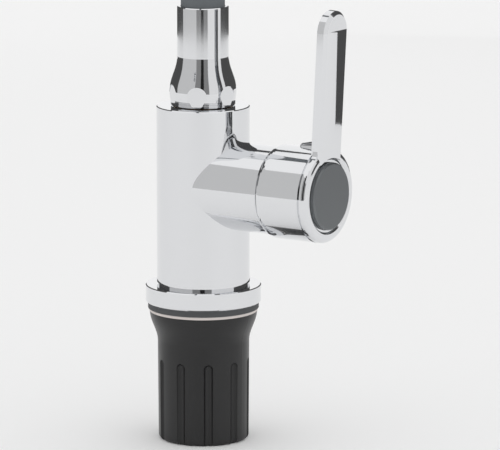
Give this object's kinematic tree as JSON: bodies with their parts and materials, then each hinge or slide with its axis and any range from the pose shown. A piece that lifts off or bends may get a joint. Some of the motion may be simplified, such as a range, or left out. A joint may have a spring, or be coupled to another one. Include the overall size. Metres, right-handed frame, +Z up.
{
  "type": "mixer tap",
  "caption": "Single-lever kitchen mixer tap with a side lever, a swivelling swan-neck spout in a grey silicone sleeve and a fluted hand nut under the worktop.",
  "frame": {"origin": "centre of the foot gasket's underside, on the column's axis, where the tap sits on the worktop", "axes": "+Z up the column, +X out along the lever branch, and the spout reaches over towards -Y"},
  "size_m": [0.1039, 0.2424, 0.4755],
  "materials": {
    "chrome": "polished chrome plate",
    "satin_cap": "satin, fine grained",
    "silicone": "matte grey silicone",
    "black_plastic": "satin black moulding",
    "foot_rubber": "dark grey rubber",
    "washer_plastic": "pale slip washer",
    "brass": "turned brass",
    "seal_rubber": "black seal rubber",
    "ceramic": "lapped white ceramic",
    "white_plastic": "moulded white plastic",
    "blue_plastic": "moulded blue plastic",
    "grey_plastic": "moulded grey plastic",
    "steel": "stainless steel",
    "hose_plastic": "extruded hose plastic"
  },
  "bodies": {
    "root": {"column_body": "chrome", "base_ring": "chrome", "foot_gasket": "foot_rubber", "threaded_shank": "brass", "swivel_bush": "white_plastic", "spigot_retainer": "brass", "port_seals": "seal_rubber", "cartridge_base": "white_plastic", "fixed_disc": "ceramic", "cartridge_casing": "white_plastic", "retaining_nut": "brass", "cartridge_cover": "chrome"},
    "spout": {"swivel_spigot": "brass", "spigot_o_rings": "seal_rubber", "spout_ferrule": "chrome", "spout_sleeve": "silicone", "spout_core": "steel", "water_hose": "hose_plastic", "outlet_ferrule": "chrome", "aerator_housing": "chrome", "aerator_insert": "grey_plastic", "aerator_washer": "seal_rubber"},
    "clamp": {"clamp_washer": "washer_plastic"},
    "nut": {"mounting_nut": "black_plastic"},
    "turret": {"turret": "white_plastic", "spindle_pin": "steel"},
    "lever": {"spindle": "steel", "handle": "chrome", "handle_cap": "satin_cap", "grub_screw": "steel", "grub_plug": "grey_plastic"},
    "discs": {"disc_carrier": "blue_plastic", "moving_disc": "ceramic"}
  },
  "joints": [
    {"name": "spout_swivel", "type": "hinge", "parent": "root", "child": "spout", "pos_m": [0, 0, 0.099], "axis": [0, 0, 1], "continuous": true},
    {"name": "temperature_turn", "type": "hinge", "parent": "root", "child": "turret", "pos_m": [0.03895, 0, 0.0613], "axis": [1, 0, 0], "range_deg": [-45, 45]},
    {"name": "lever_lift", "type": "hinge", "parent": "turret", "child": "lever", "pos_m": [0.03895, 0, 0.0613], "axis": [0, 1, 0], "range_deg": [0, 25]},
    {"name": "disc_slide", "type": "slide", "parent": "turret", "child": "discs", "axis": [0, 0, 1], "range_m": [0, 0.0034]},
    {"name": "clamp_travel", "type": "slide", "parent": "root", "child": "clamp", "axis": [0, 0, -1], "range_m": [0, 0.03]},
    {"name": "nut_spin", "type": "hinge", "parent": "clamp", "child": "nut", "pos_m": [0, 0, -0.033], "axis": [0, 0, -1], "range_deg": [0, 5400]}
  ],
  "couplings": [
    {"joint": "disc_slide", "follows": "lever_lift", "m_per_rad": 0.0077486},
    {"joint": "clamp_travel", "follows": "nut_spin", "m_per_rad": 0.0003183}
  ]
}
